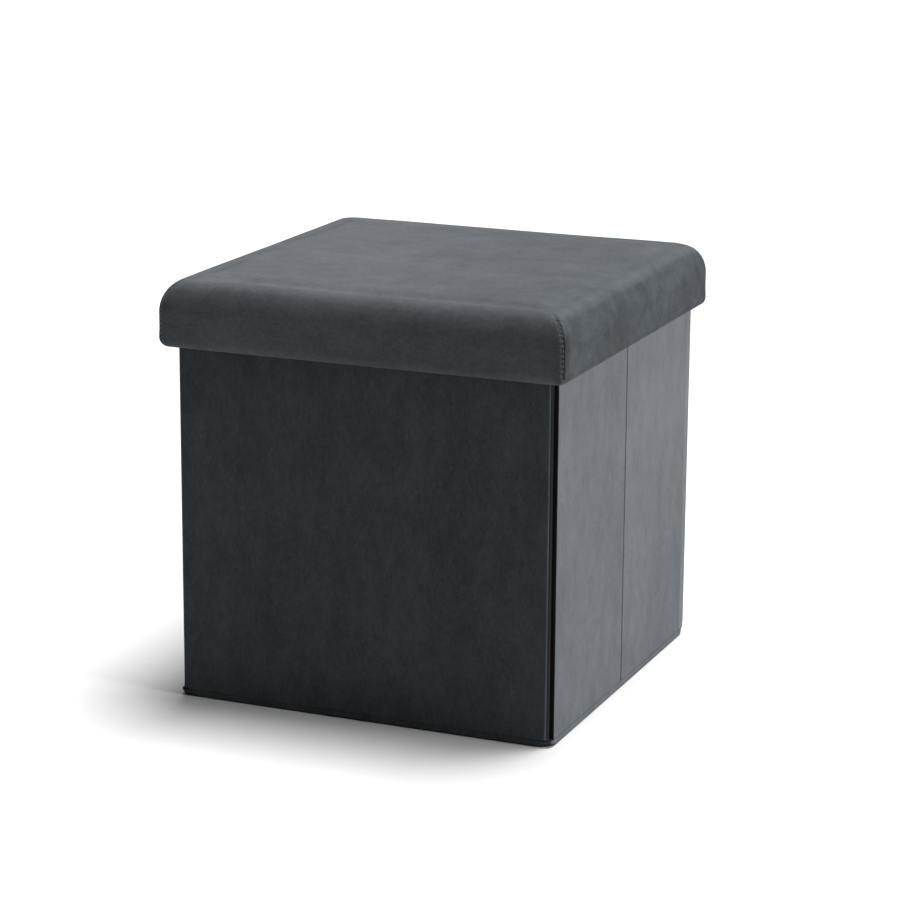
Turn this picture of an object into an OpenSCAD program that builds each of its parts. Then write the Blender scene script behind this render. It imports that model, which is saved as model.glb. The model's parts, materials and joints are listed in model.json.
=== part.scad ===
// Folding storage ottoman: a fabric-hinged box with a stiff drop-in base and a padded lift-off lid.
// Millimetres, +Z up, origin on the floor under the middle of the box, front towards -Y.

/* [Overall size] */
// Width and depth of the closed ottoman, measured over the lid
overall_w = 380; // [370:1:400]
// Height of the closed ottoman, from the floor to the seat
overall_h = 380; // [340:1:420]
// Width and depth of the box, measured over its outer fabric
box_w = 355; // [345:1:355]

/* [Walls] */
// Thickness of a wall board
wall_board_t = 5; // [4:0.5:6]
// Thickness of the velvet on a wall board
wall_velvet_t = 1.2; // [0.8:0.1:1.5]
// Thickness of the non-woven lining inside a wall
wall_lining_t = 0.8; // [0.4:0.1:1]
// Radius of the front and back walls' bottom corners, seen square on and measured from the floor
wall_corner_r = 14; // [8:1:24]
// Width of the soft channel between a side wall and the back wall
corner_channel_w = 7.5; // [6:0.5:10]
// Distance that each end of the front wall stands back from the side walls' faces
front_setback = 4; // [3:0.5:6]
// Gap between a side wall's front edge and the inner face of the front wall
front_gap = 0.6; // [0.5:0.1:1]
// Gap between the two boards of a folding side wall
crease_gap = 2; // [1.5:0.5:4]

/* [Fabric hinges] */
// Distance of a corner's fold line inside the faces of the walls that meet there
fold_inset = 3.2; // [3:0.1:4]
// Distance of a crease's fold line outside the face of its side wall
crease_out = 0.2; // [0.1:0.1:0.4]
// Radius of the bound seam in an inside corner
corner_seam_r = 0.8; // [0.6:0.1:1.2]
// Radius of the stitched seam along a crease
crease_seam_r = 0.5; // [0.4:0.1:0.6]
// Thickness of the hinge cloth
hinge_cloth_t = 0.8; // [0.6:0.1:1]

/* [Floor and base] */
// Thickness of the bottom cloth
floor_cloth_t = 0.8; // [0.5:0.1:0.8]
// Height of the velvet band that the bottom cloth is sewn to
hem_band_h = 5.7; // [5:0.1:5.8]
// Width of the stiff base board
base_w = 328; // [300:1:328]
// Length of the stiff base board, front to back
base_l = 332; // [300:1:332]
// Thickness of the base board
base_board_t = 3; // [2:0.5:3]
// Thickness of the lining on the base board
base_lining_t = 0.6; // [0.4:0.1:0.6]
// Width of the pull tab
tab_w = 25; // [20:1:40]
// Length of the pull tab
tab_l = 50; // [40:1:80]

/* [Lid] */
// Height of the lid, from the lower edge of its skirt to the seat
lid_h = 60.5; // [50:0.5:70]
// Radius of the padded edge round the seat
lid_edge_r = 20; // [12:1:24]
// Radius of the lid's corners, seen from above
lid_corner_r = 12; // [8:1:20]
// Radius of the rolled lower edge of the skirt
lid_hem_r = 8; // [2:0.5:9]
// Thickness of the velvet on the lid
lid_velvet_t = 1.6; // [1:0.1:1.6]
// Thickness of the lid's top board
lid_board_t = 9; // [6:1:12]
// Thickness of a skirt rail
rail_t = 8; // [6:0.5:8]
// Thickness of the foam in the seat
foam_t = 24; // [22:1:26]
// Thickness of the lining under the lid
lid_lining_t = 0.7; // [0.4:0.1:0.7]
// Staples along each side of the lid's hem
staples_per_side = 6; // [3:1:8]

/* [Hidden] */
$fn = 64;

// Colours
velvet_colour = "#2f3336";
lining_colour = "#1f2022";
board_colour = "#a98c66";
foam_colour = "#e8dcb0";
steel_colour = "#b9bdc2";

// Walls: thickness, fold lines, and the heights they stand between
wall_t = wall_lining_t + wall_board_t + wall_velvet_t;
box_half = box_w / 2;
inner_half = box_half - wall_t;
fold_half = inner_half - fold_inset;
side_start = crease_gap / 2;
side_end = inner_half - corner_channel_w;
rear_len = side_end - side_start;
front_len = inner_half - front_gap - side_start;
front_w = box_w - 2 * front_setback;
base_gap = 0.2;
wall_z = hem_band_h + 0.3;
channel_cloth_gap = 0.1;
channel_end_gap = 0.4;
lip_gap = 0.3;
lip_ledge = 3;
lid_z = overall_h - lid_h;
lid_under_z = overall_h - lid_velvet_t - foam_t - lid_board_t - lid_lining_t;
wall_top = lid_under_z - 0.3;
wall_h = wall_top - wall_z;
cut = 1;

// Base: a flap on a tape hinge along the foot of the back wall
base_z = floor_cloth_t + base_gap;
base_top = base_z + base_board_t + base_lining_t;
tape_t = 0.6;
tape_w = 18;
tape_l = 300;
tape_fold_r = 0.6;
tape_fold_inset = 0.9;
tape_fold_rise = 1;
tape_fold_y = inner_half - tape_fold_inset;
tape_fold_z = base_top + tape_fold_rise;
base_rear_gap = 1;
base_rear_y = tape_fold_y - base_rear_gap;
base_front_y = base_rear_y - base_l;
base_corner_r = 6;
tab_t = 0.6;
tab_inset = 4;
tab_crown = [6, 0.7, 0.4];
tab_leg_l = 2;
tab_staple_x = 6;
tab_staple_inset = 7;
tab_staple_y = base_front_y + tab_inset + tab_staple_inset;

// Lid: the skirt's layers, counted inwards from its outer face
lid_half = overall_w / 2;
rail_out = lid_half - lid_velvet_t;
rail_in = rail_out - rail_t;
hem_turn_t = 0.7;
hem_in = rail_in - hem_turn_t;
lid_in = hem_in - lid_lining_t;
rail_rise = 1.5;
rail_z = lid_z + rail_rise;
board_z = lid_under_z + lid_lining_t;
foam_z = board_z + lid_board_t;
hem_turn_h = 14.5;
hem_top = lid_z + hem_turn_h;
lining_hem_rise = 5.5;
lining_hem_z = lid_z + lining_hem_rise;
staple_rise = 10;
staple_z = lid_z + staple_rise;
staple_margin = 20;
staple_crown = [10, 0.4, 0.8];
staple_leg_l = 5;
staple_wire = 0.8;
brad_r = 0.7;
brad_l = 20;
brad_places = [-120, 0, 120];
brad_z = board_z + lid_board_t / 2;

// ---------- shapes that repeat ----------

// A flat outline standing on y = 0, with its two bottom corners rounded
module panel_outline(w, h, r) {
    translate([0, r])
        square([w, h - r]);
    translate([r, 0])
        square([w - 2 * r, h]);
    if (r > 0)
        for (x = [r, w - r])
            translate([x, r])
                circle(r);
}

// A standing plate of that outline: X along the wall, Y through it, Z up. The corners are
// rounded down to the floor, so the plate keeps only the part of them above its own foot
module panel_plate(w, h, r, y0, t) {
    translate([0, y0 + t, 0])
        rotate([90, 0, 0])
            linear_extrude(t)
                intersection() {
                    translate([0, -wall_z])
                        panel_outline(w, h + wall_z, r);
                    square([w, h]);
                }
}

// The board's outline is the wall's outline less the velvet turned over every edge
module board_plate(w, r, y0, t) {
    v = wall_velvet_t;
    translate([v, 0, v])
        panel_plate(w - 2 * v, wall_h - 2 * v, max(r - v, 0), y0, t);
}

module wall_board(w, r) {
    color(board_colour)
        board_plate(w, r, wall_lining_t, wall_board_t);
}

module wall_cover(w, r) {
    color(velvet_colour)
        difference() {
            panel_plate(w, wall_h, r, wall_lining_t, wall_board_t + wall_velvet_t);
            board_plate(w, r, wall_lining_t - cut, wall_board_t + cut);
        }
}

module wall_lining(w, r) {
    color(lining_colour)
        panel_plate(w, wall_h, r, 0, wall_lining_t);
}

// The back wall's velvet carried forward over the channels at its two ends
module channel_lips() {
    v = wall_velvet_t;
    lip_w = corner_channel_w - lip_gap;
    lip_t = lip_w + wall_lining_t + v;
    color(velvet_colour)
        difference() {
            panel_plate(box_w, wall_h, wall_corner_r, -lip_w, lip_t);
            board_plate(box_w, wall_corner_r, -lip_w - cut, lip_t + 2 * cut);
            translate([lip_ledge, -lip_w - cut, -cut])
                cube([box_w - 2 * lip_ledge, lip_t + 2 * cut, wall_h + 2 * cut]);
        }
}

module at_back() {
    translate([-box_half, inner_half, wall_z])
        children();
}

module at_front() {
    mirror([0, 1, 0])
        translate([-front_w / 2, inner_half, wall_z])
            children();
}

module at_right_rear() {
    translate([inner_half, side_start, wall_z])
        mirror([1, -1, 0])
            children();
}

module at_right_front() {
    mirror([0, 1, 0])
        at_right_rear()
            children();
}

module at_left_rear() {
    mirror([1, 0, 0])
        at_right_rear()
            children();
}

module at_left_front() {
    mirror([1, 0, 0])
        at_right_front()
            children();
}

// Bound seam on the fold line of the corner at +X +Y
module corner_seam() {
    translate([fold_half, fold_half, wall_z])
        cylinder(r = corner_seam_r, h = wall_h);
}

// Hinge cloth of a rear corner: its seam, and the cloth that runs from it to close the channel
module rear_hinge_cloth() {
    color(lining_colour) {
        corner_seam();
        translate([0, 0, wall_z]) {
            translate([fold_half, fold_half - hinge_cloth_t / 2, 0])
                cube([fold_inset + hinge_cloth_t, hinge_cloth_t, wall_h]);
            translate([inner_half + channel_cloth_gap, side_end + channel_end_gap, 0])
                cube([hinge_cloth_t, corner_channel_w - channel_end_gap - channel_cloth_gap * 2, wall_h]);
        }
    }
}

// Hinge cloth of a front corner: its seam, and the cloth that joins it to the front wall
module front_hinge_cloth() {
    color(lining_colour) {
        corner_seam();
        translate([fold_half - hinge_cloth_t / 2, fold_half, wall_z])
            cube([hinge_cloth_t, fold_inset - channel_cloth_gap, wall_h]);
    }
}

// Stitched seam of the crease at +X: a round seam on the fold line, and the cloth behind it
module crease_seam() {
    color(velvet_colour)
        translate([box_half + crease_out, 0, wall_z]) {
            cylinder(r = crease_seam_r, h = wall_h);
            translate([-crease_out - wall_t + 1, -hinge_cloth_t / 2, 0])
                cube([crease_out + wall_t - 1, hinge_cloth_t, wall_h]);
        }
}

module round_square(half, r) {
    side = 2 * half;
    square([side - 2 * r, side], center = true);
    square([side, side - 2 * r], center = true);
    for (sx = [-1, 1])
        for (sy = [-1, 1])
            translate([sx * (half - r), sy * (half - r)])
                circle(r);
}

// Side view of the lid: rounded at the padded top edge and at the rolled lower edge
module lid_profile(half, z0, z1, r_top, r_low) {
    translate([-half, z0 + r_low])
        square([2 * half, z1 - z0 - r_top - r_low]);
    translate([-half + r_top, z1 - r_top])
        square([2 * (half - r_top), r_top]);
    translate([-half + r_low, z0])
        square([2 * (half - r_low), r_low]);
    for (s = [-1, 1]) {
        translate([s * (half - r_top), z1 - r_top])
            circle(r_top);
        translate([s * (half - r_low), z0 + r_low])
            circle(r_low);
    }
}

// The lid's outside shape, taken in all round by a distance
module lid_form(inset, z0) {
    half = lid_half - inset;
    z1 = overall_h - inset;
    r_top = lid_edge_r - inset;
    r_low = max(lid_hem_r - inset, 0.5);
    intersection() {
        translate([0, 0, z0])
            linear_extrude(z1 - z0)
                round_square(half, lid_corner_r - inset);
        translate([0, half, 0])
            rotate([90, 0, 0])
                linear_extrude(2 * half)
                    lid_profile(half, z0, z1, r_top, r_low);
        translate([-half, 0, 0])
            rotate([90, 0, 90])
                linear_extrude(2 * half)
                    lid_profile(half, z0, z1, r_top, r_low);
    }
}

module square_prism(half, z0, z1) {
    translate([-half, -half, z0])
        cube([2 * half, 2 * half, z1 - z0]);
}

// Runs its children once for each side of the lid, turned to face it
module each_side() {
    for (a = [0, 90, 180, 270])
        rotate([0, 0, a])
            children();
}

// One wire staple driven along +Y: a crown and two legs
module staple(crown, leg_l, wire) {
    translate([-crown[0] / 2, 0, -crown[2] / 2])
        cube(crown);
    for (s = [-1, 1])
        translate([s * (crown[0] - wire) / 2 - wire / 2, 0, -wire / 2])
            cube([wire, crown[1] + leg_l, wire]);
}

module hem_staples() {
    pitch = 2 * (rail_in - staple_margin) / staples_per_side;
    each_side()
        for (i = [0 : staples_per_side - 1])
            translate([(i - (staples_per_side - 1) / 2) * pitch, lid_in - staple_crown[1], staple_z])
                staple(staple_crown, staple_leg_l, staple_wire);
}

module rail_brads() {
    each_side()
        for (x = brad_places)
            translate([x, rail_out, brad_z])
                rotate([90, 0, 0])
                    cylinder(r = brad_r, h = brad_l);
}

module tab_staples() {
    for (s = [-1, 1])
        translate([s * tab_staple_x, tab_staple_y, base_top + tab_t + tab_crown[2]])
            rotate([-90, 0, 0])
                staple([tab_crown[0], tab_crown[2], tab_crown[1]], tab_t + tab_leg_l, tab_crown[1]);
}

// ---------- floor and base ----------

module floor_cloth() {
    color(lining_colour)
        linear_extrude(floor_cloth_t)
            round_square(box_half, wall_corner_r);
}

module hem_band() {
    color(velvet_colour)
        translate([0, 0, floor_cloth_t])
            linear_extrude(hem_band_h - floor_cloth_t)
                difference() {
                    round_square(box_half, wall_corner_r);
                    round_square(box_half - wall_velvet_t, wall_corner_r - wall_velvet_t);
                }
}

module base_outline() {
    translate([0, (base_rear_y + base_front_y) / 2])
        intersection() {
            round_square(base_l / 2, base_corner_r);
            square([base_w, base_l], center = true);
        }
}

module base_board() {
    color(board_colour)
        difference() {
            translate([0, 0, base_z])
                linear_extrude(base_board_t)
                    base_outline();
            tab_staples();
        }
}

module base_lining() {
    color(lining_colour)
        difference() {
            translate([0, 0, base_z + base_board_t])
                linear_extrude(base_lining_t)
                    base_outline();
            tab_staples();
        }
}

module base_hinge_tape() {
    color(lining_colour)
        translate([-tape_l / 2, 0, 0]) {
            translate([0, tape_fold_y - tape_w, base_top])
                cube([tape_l, tape_w, tape_t]);
            translate([0, tape_fold_y, tape_fold_z])
                rotate([0, 90, 0])
                    cylinder(r = tape_fold_r, h = tape_l);
        }
}

module pull_tab() {
    color(velvet_colour)
        difference() {
            translate([-tab_w / 2, base_front_y + tab_inset, base_top])
                cube([tab_w, tab_l, tab_t]);
            tab_staples();
        }
}

module pull_tab_staples() {
    color(steel_colour)
        tab_staples();
}

// ---------- walls ----------

module back_board() {
    at_back()
        wall_board(box_w, wall_corner_r);
}

module back_cover() {
    at_back() {
        wall_cover(box_w, wall_corner_r);
        channel_lips();
    }
}

module back_lining() {
    color(lining_colour)
        at_back()
            board_plate(box_w, wall_corner_r, 0, wall_lining_t);
}

module front_board() {
    at_front()
        wall_board(front_w, wall_corner_r);
}

module front_cover() {
    at_front()
        wall_cover(front_w, wall_corner_r);
}

module front_lining() {
    at_front()
        wall_lining(front_w, wall_corner_r);
}

module right_rear_board() {
    at_right_rear()
        wall_board(rear_len, 0);
}

module right_rear_cover() {
    at_right_rear()
        wall_cover(rear_len, 0);
}

module right_rear_lining() {
    at_right_rear()
        wall_lining(rear_len, 0);
}

module right_front_board() {
    at_right_front()
        wall_board(front_len, 0);
}

module right_front_cover() {
    at_right_front()
        wall_cover(front_len, 0);
}

module right_front_lining() {
    at_right_front()
        wall_lining(front_len, 0);
}

module left_rear_board() {
    at_left_rear()
        wall_board(rear_len, 0);
}

module left_rear_cover() {
    at_left_rear()
        wall_cover(rear_len, 0);
}

module left_rear_lining() {
    at_left_rear()
        wall_lining(rear_len, 0);
}

module left_front_board() {
    at_left_front()
        wall_board(front_len, 0);
}

module left_front_cover() {
    at_left_front()
        wall_cover(front_len, 0);
}

module left_front_lining() {
    at_left_front()
        wall_lining(front_len, 0);
}

// ---------- fabric hinges ----------

module back_right_hinge_cloth() {
    rear_hinge_cloth();
}

module back_left_hinge_cloth() {
    mirror([1, 0, 0])
        rear_hinge_cloth();
}

module front_right_hinge_cloth() {
    mirror([0, 1, 0])
        front_hinge_cloth();
}

module front_left_hinge_cloth() {
    rotate([0, 0, 180])
        front_hinge_cloth();
}

module right_crease_seam() {
    crease_seam();
}

module left_crease_seam() {
    mirror([1, 0, 0])
        crease_seam();
}

// ---------- lid ----------

module lid_board() {
    color(board_colour)
        difference() {
            square_prism(rail_in, board_z, foam_z);
            rail_brads();
        }
}

// The ring of rails, with its corners and its lower edge rounded to suit the lid
module rail_ring() {
    difference() {
        intersection() {
            lid_form(lid_velvet_t, rail_z);
            square_prism(lid_half, rail_z - cut, foam_z);
        }
        square_prism(rail_in, rail_z - cut, foam_z + cut);
        hem_staples();
        rail_brads();
    }
}

// The front and rear rails are the full width of the lid, and the other two stand between them
module lid_rail_front() {
    color(board_colour)
        intersection() {
            rail_ring();
            translate([-lid_half, -lid_half, 0])
                cube([2 * lid_half, lid_half - rail_in, overall_h]);
        }
}

module lid_rail_rear() {
    color(board_colour)
        intersection() {
            rail_ring();
            translate([-lid_half, rail_in, 0])
                cube([2 * lid_half, lid_half - rail_in, overall_h]);
        }
}

module lid_rail_left() {
    color(board_colour)
        intersection() {
            rail_ring();
            translate([-lid_half, -rail_in, 0])
                cube([lid_half - rail_in, 2 * rail_in, overall_h]);
        }
}

module lid_rail_right() {
    color(board_colour)
        intersection() {
            rail_ring();
            translate([rail_in, -rail_in, 0])
                cube([lid_half - rail_in, 2 * rail_in, overall_h]);
        }
}

module lid_brads() {
    color(steel_colour)
        rail_brads();
}

module lid_foam() {
    color(foam_colour)
        intersection() {
            lid_form(lid_velvet_t, lid_z);
            square_prism(lid_half, foam_z, overall_h);
        }
}

// Velvet over the foam and down the skirt, turned under the rails and up inside them
module lid_cover() {
    color(velvet_colour)
        difference() {
            union() {
                difference() {
                    lid_form(0, lid_z);
                    lid_form(lid_velvet_t, rail_z);
                    square_prism(hem_in, lid_z - cut, rail_z + cut);
                }
                difference() {
                    square_prism(rail_in, rail_z - hem_turn_t, hem_top);
                    square_prism(hem_in, rail_z - cut, hem_top + cut);
                }
            }
            hem_staples();
        }
}

module lid_lining() {
    color(lining_colour)
        difference() {
            square_prism(hem_in, lining_hem_z, board_z);
            square_prism(lid_in, lining_hem_z - cut, lid_under_z);
            hem_staples();
        }
}

module lid_staples() {
    color(steel_colour)
        hem_staples();
}

floor_cloth();
hem_band();
back_board();
back_cover();
back_lining();
front_board();
front_cover();
front_lining();
right_rear_board();
right_rear_cover();
right_rear_lining();
right_front_board();
right_front_cover();
right_front_lining();
left_rear_board();
left_rear_cover();
left_rear_lining();
left_front_board();
left_front_cover();
left_front_lining();
back_right_hinge_cloth();
back_left_hinge_cloth();
front_right_hinge_cloth();
front_left_hinge_cloth();
right_crease_seam();
left_crease_seam();
base_board();
base_lining();
base_hinge_tape();
pull_tab();
pull_tab_staples();
lid_board();
lid_rail_front();
lid_rail_rear();
lid_rail_left();
lid_rail_right();
lid_brads();
lid_foam();
lid_cover();
lid_lining();
lid_staples();
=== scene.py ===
"""A folding storage ottoman: velvet, lining, foam, stitches and tapes made around the CAD frame.

Lengths are metres. X runs along the front, Y from front to back, Z up, as in the CAD frame.
"""
import json
import math

import bpy
import numpy as np
from mathutils import Matrix, Vector, kdtree, noise


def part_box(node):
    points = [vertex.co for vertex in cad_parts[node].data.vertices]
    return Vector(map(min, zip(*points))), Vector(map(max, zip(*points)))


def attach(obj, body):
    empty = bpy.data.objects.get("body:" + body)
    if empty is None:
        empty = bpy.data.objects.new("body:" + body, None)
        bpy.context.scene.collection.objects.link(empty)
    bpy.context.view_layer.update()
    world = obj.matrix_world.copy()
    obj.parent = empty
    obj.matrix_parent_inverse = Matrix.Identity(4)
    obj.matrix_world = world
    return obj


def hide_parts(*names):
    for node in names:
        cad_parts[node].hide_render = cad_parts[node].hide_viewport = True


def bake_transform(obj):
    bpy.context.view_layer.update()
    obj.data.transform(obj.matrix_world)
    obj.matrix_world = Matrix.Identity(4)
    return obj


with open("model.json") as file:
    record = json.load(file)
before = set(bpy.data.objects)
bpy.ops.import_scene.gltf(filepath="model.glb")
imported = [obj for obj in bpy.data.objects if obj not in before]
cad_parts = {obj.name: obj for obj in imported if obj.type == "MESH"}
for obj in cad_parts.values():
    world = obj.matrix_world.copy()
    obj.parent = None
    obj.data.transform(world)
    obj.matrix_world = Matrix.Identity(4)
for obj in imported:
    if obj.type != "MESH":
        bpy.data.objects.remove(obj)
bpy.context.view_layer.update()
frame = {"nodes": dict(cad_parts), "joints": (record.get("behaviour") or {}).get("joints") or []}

MM = 0.001

# ---------------------------------------------------------------- sizes read from the frame

LID_LOW, LID_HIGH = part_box("lid_cover")
LID_HALF = LID_HIGH.x
SEAT_Z = LID_HIGH.z
SKIRT_Z = LID_LOW.z
HEM_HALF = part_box("lid_rail_right")[0].x
LID_UNDER_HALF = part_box("lid_lining")[1].x
LID_UNDER_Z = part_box("lid_board")[0].z
FOAM_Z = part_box("lid_foam")[0].z

BOX_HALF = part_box("back_cover")[1].y
INNER_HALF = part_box("back_lining")[0].y
WALL_FOOT, WALL_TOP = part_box("back_cover")[0].z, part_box("back_cover")[1].z
WALL_T = BOX_HALF - INNER_HALF
SIDE_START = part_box("right_rear_cover")[0].y
REAR_SIDE_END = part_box("right_rear_cover")[1].y
FRONT_SIDE_END = -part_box("right_front_cover")[0].y
FRONT_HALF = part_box("front_cover")[1].x
CORNER_R = 14 * MM
HINGES = {j["name"]: j for j in frame["joints"]}
FOLD = HINGES["right_rear_fold"]["pos_m"][0]
CLOTH_T = 0.6 * MM

# ---------------------------------------------------------------- camera

AZIMUTH, ELEVATION, ROLL = 22.65, 14.37, 0.37
DISTANCE = 2.7378
FOCAL_MM = 120.2
AIM_RIGHT, AIM_UP = 8.1 * MM, 12.6 * MM


def make_camera():
    a, e, r = (math.radians(v) for v in (AZIMUTH, ELEVATION, ROLL))
    back = Vector((math.sin(a) * math.cos(e), -math.cos(a) * math.cos(e), math.sin(e)))
    level = Vector((math.cos(a), math.sin(a), 0))
    upright = back.cross(level)
    right = math.cos(r) * level + math.sin(r) * upright
    up = back.cross(right)
    aim = Vector((0, 0, SEAT_Z / 2)) + AIM_RIGHT * right + AIM_UP * up
    data = bpy.data.cameras.new("camera")
    data.sensor_width = 36
    data.lens = FOCAL_MM
    camera = bpy.data.objects.new("camera", data)
    bpy.context.collection.objects.link(camera)
    eye = aim + DISTANCE * back
    camera.matrix_world = Matrix([(*axes, at) for *axes, at in zip(right, up, back, eye)] + [(0, 0, 0, 1)])
    bpy.context.scene.camera = camera


make_camera()

# ---------------------------------------------------------------- materials


def new_material(name):
    material = bpy.data.materials.new(name)
    material.use_nodes = True
    tree = material.node_tree
    shader = tree.nodes["Principled BSDF"]
    return material, tree, shader


def fill(tree, node, inputs):
    """Sets a node's inputs; a value that is another node's output is linked."""
    for key, value in inputs.items():
        if isinstance(value, bpy.types.NodeSocket):
            tree.links.new(value, node.inputs[key])
        else:
            node.inputs[key].default_value = value


def add_node(tree, kind, inputs=None, **settings):
    node = tree.nodes.new(kind)
    for key, value in settings.items():
        setattr(node, key, value)
    fill(tree, node, inputs or {})
    return node


def stretched(tree, scale=(1, 1, 1)):
    """Object coordinates multiplied by a scale for each axis."""
    place = add_node(tree, "ShaderNodeTexCoord").outputs["Object"]
    return add_node(tree, "ShaderNodeMapping", {"Vector": place, "Scale": scale}).outputs["Vector"]


def noise_at(tree, vector, scale, detail, rough):
    inputs = {"Vector": vector, "Scale": scale, "Detail": detail, "Roughness": rough}
    return add_node(tree, "ShaderNodeTexNoise", inputs).outputs["Fac"]


def cells(tree, vector, scale, randomness=1):
    """Distance from the middle of the nearest of many small cells."""
    inputs = {"Vector": vector, "Scale": scale, "Randomness": randomness}
    return add_node(tree, "ShaderNodeTexVoronoi", inputs).outputs["Distance"]


def maths(tree, operation, a, b, c=0.5):
    return add_node(tree, "ShaderNodeMath", {0: a, 1: b, 2: c}, operation=operation).outputs[0]


def weighted(tree, a, share_a, b, share_b):
    """The sum of two values, each times its share."""
    return maths(tree, "ADD", maths(tree, "MULTIPLY", a, share_a), maths(tree, "MULTIPLY", b, share_b))


def spread(tree, value, low, high, to_low, to_high):
    inputs = {"Value": value, "From Min": low, "From Max": high, "To Min": to_low, "To Max": to_high}
    return add_node(tree, "ShaderNodeMapRange", inputs).outputs["Result"]


def bump(tree, height, strength, distance):
    inputs = {"Height": height, "Strength": strength, "Distance": distance}
    return add_node(tree, "ShaderNodeBump", inputs).outputs["Normal"]


def mix_colour(tree, share, a, b):
    return add_node(tree, "ShaderNodeMix", {0: share, 6: a, 7: b}, data_type="RGBA").outputs[2]


def velvet(name, brushed=(1, 1, 1)):
    """Short-pile velvet. The attribute read here holds the pile's lean together with painted light and
    shade, set piece by piece: low is dark and bluish, high is pale and grey. It leans unevenly, in soft
    patches drawn out along the brushing direction, and the grain of the tufts shows over that."""
    material, tree, shader = new_material(name)
    place, brush = stretched(tree), stretched(tree, brushed)
    # Painted light and shade, with the pile's lean, come in through this attribute.
    shade = add_node(tree, "ShaderNodeAttribute", attribute_name="nap").outputs["Fac"]
    grain = (
        (noise_at(tree, brush, 12, 4, 0.6), 0.30),
        (noise_at(tree, brush, 50, 5, 0.65), 0.36),
        (noise_at(tree, brush, 210, 4, 0.7), 0.40),
        (noise_at(tree, place, 800, 3, 0.7), 0.36),
    )
    swing = maths(tree, "MULTIPLY_ADD", shade, 0.75, 0.62)
    for pattern, depth in grain:
        mark = spread(tree, pattern, 0, 1, -depth / 2, depth / 2)
        shade = maths(tree, "ADD", shade, maths(tree, "MULTIPLY", mark, swing))
    shade = maths(tree, "MAXIMUM", shade, 0.02)
    tint = mix_colour(tree, spread(tree, shade, 0.4, 1.2, 0, 1), DARK_TINT, PALE_TINT)
    bright = maths(tree, "MULTIPLY", shade, PILE_BRIGHTNESS)
    base = add_node(tree, "ShaderNodeVectorMath", {0: tint, "Scale": bright}, operation="SCALE")
    tufts, pile = grain[2][0], grain[3][0]
    height = weighted(tree, tufts, 0.6, pile, 0.4)
    fill(tree, shader, {
        "Base Color": base.outputs["Vector"], "Normal": bump(tree, height, 0.35, 0.4 * MM),
        "Roughness": 0.95, "Specular IOR Level": 0.15,
        "Sheen Weight": 0.06, "Sheen Roughness": 0.45, "Sheen Tint": (0.62, 0.66, 0.72, 1),
    })
    return material


def nonwoven(name, colour):
    """Spun-bonded lining cloth: matted fibres, pressed with a close pattern of small dimples."""
    material, tree, shader = new_material(name)
    place = stretched(tree)
    dimples = cells(tree, place, 520, 0.25)
    fibres = noise_at(tree, stretched(tree, (1, 1, 3)), 700, 5, 0.75)
    cloudy = noise_at(tree, place, 30, 4, 0.6)
    patches = spread(tree, cloudy, 0.3, 0.7, 0.85, 1.15)
    shade = maths(tree, "MULTIPLY", spread(tree, fibres, 0.3, 0.7, 0.7, 1.3), patches)
    shade = maths(tree, "MULTIPLY", shade, spread(tree, dimples, 0.0, 0.6, 0.75, 1.1))
    bright = (*(c * 2.0 for c in colour), 1)
    base = mix_colour(tree, maths(tree, "MULTIPLY", shade, 0.5), (0, 0, 0, 1), bright)
    height = weighted(tree, dimples, 0.9, fibres, 0.4)
    fill(tree, shader, {
        "Base Color": base, "Normal": bump(tree, height, 0.5, 0.5 * MM),
        "Roughness": 0.82, "Specular IOR Level": 0.25,
    })
    return material


def fibreboard(name):
    material, tree, shader = new_material(name)
    fibres = noise_at(tree, stretched(tree), 420, 6, 0.8)
    cloudy = noise_at(tree, stretched(tree), 25, 3, 0.6)
    shade = weighted(tree, fibres, 0.65, cloudy, 0.35)
    dark, pale = (0.20, 0.135, 0.075, 1), (0.42, 0.31, 0.19, 1)
    base = mix_colour(tree, spread(tree, shade, 0.3, 0.7, 0, 1), dark, pale)
    fill(tree, shader, {"Base Color": base, "Normal": bump(tree, fibres, 0.3, 0.3 * MM), "Roughness": 0.8})
    return material


def foam_sheet(name):
    material, tree, shader = new_material(name)
    pores = cells(tree, stretched(tree), 700)
    cloudy = noise_at(tree, stretched(tree), 18, 3, 0.6)
    patches = spread(tree, cloudy, 0.3, 0.7, 0.85, 1)
    shade = maths(tree, "MULTIPLY", spread(tree, pores, 0, 0.6, 0.6, 1), patches)
    base = mix_colour(tree, shade, (0.45, 0.38, 0.2, 1), (0.84, 0.77, 0.52, 1))
    fill(tree, shader, {"Base Color": base, "Normal": bump(tree, pores, 0.6, 0.6 * MM), "Roughness": 0.9})
    return material


def wire(name):
    material, tree, shader = new_material(name)
    drawn = noise_at(tree, stretched(tree, (40, 40, 400)), 30, 3, 0.6)
    base = mix_colour(tree, drawn, (0.42, 0.43, 0.45, 1), (0.72, 0.73, 0.75, 1))
    rough = spread(tree, drawn, 0.3, 0.7, 0.25, 0.45)
    fill(tree, shader, {"Base Color": base, "Roughness": rough, "Metallic": 1})
    return material


def spun_thread(name, colour):
    material, tree, shader = new_material(name)
    twist = noise_at(tree, stretched(tree), 1500, 2, 0.6)
    bright = (*(c * 1.5 for c in colour), 1)
    dark = (*(c * 0.5 for c in colour), 1)
    fill(tree, shader, {
        "Base Color": mix_colour(tree, twist, dark, bright), "Normal": bump(tree, twist, 0.4, 0.1 * MM),
        "Roughness": 0.6, "Sheen Weight": 0.3,
    })
    return material


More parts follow.
